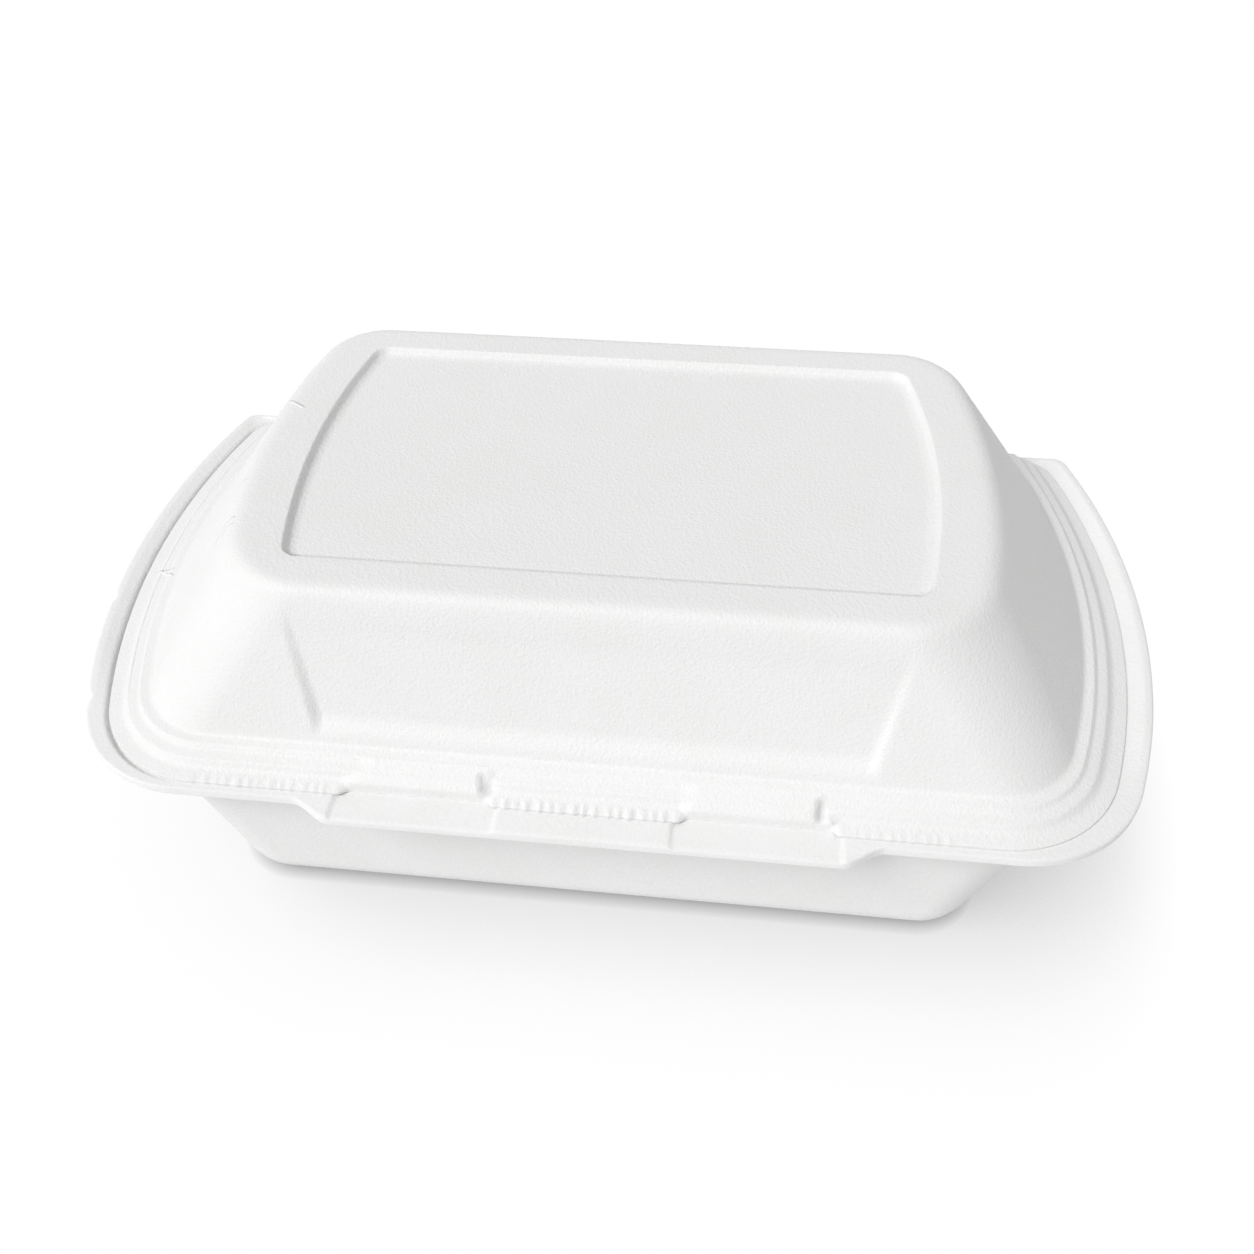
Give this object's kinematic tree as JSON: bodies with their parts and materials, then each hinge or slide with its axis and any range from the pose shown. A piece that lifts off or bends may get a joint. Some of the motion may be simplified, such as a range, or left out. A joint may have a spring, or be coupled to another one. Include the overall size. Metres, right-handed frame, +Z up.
{
  "type": "hinged foam food container",
  "caption": "Hinged foam food container: deep tray with a flared lip and wide front tab, domed lid with a sunk panel, ribbed front and locking lugs, joined by a fold at the back.",
  "frame": {"origin": "centre of the whole container's footprint, on the face that it rests on", "axes": "+X along the long front to the right, +Y from the front tab back to the fold, +Z up"},
  "size_m": [0.244, 0.1315, 0.0793],
  "materials": {
    "foam": "matte"
  },
  "bodies": {
    "tray": {"base_tray": "foam"},
    "lid": {"lid": "foam"}
  },
  "joints": [
    {"name": "lid_hinge", "type": "hinge", "parent": "tray", "child": "lid", "pos_m": [0, 0.06415, 0.04315], "axis": [-1, 0, 0], "range_deg": [0, 180]}
  ]
}
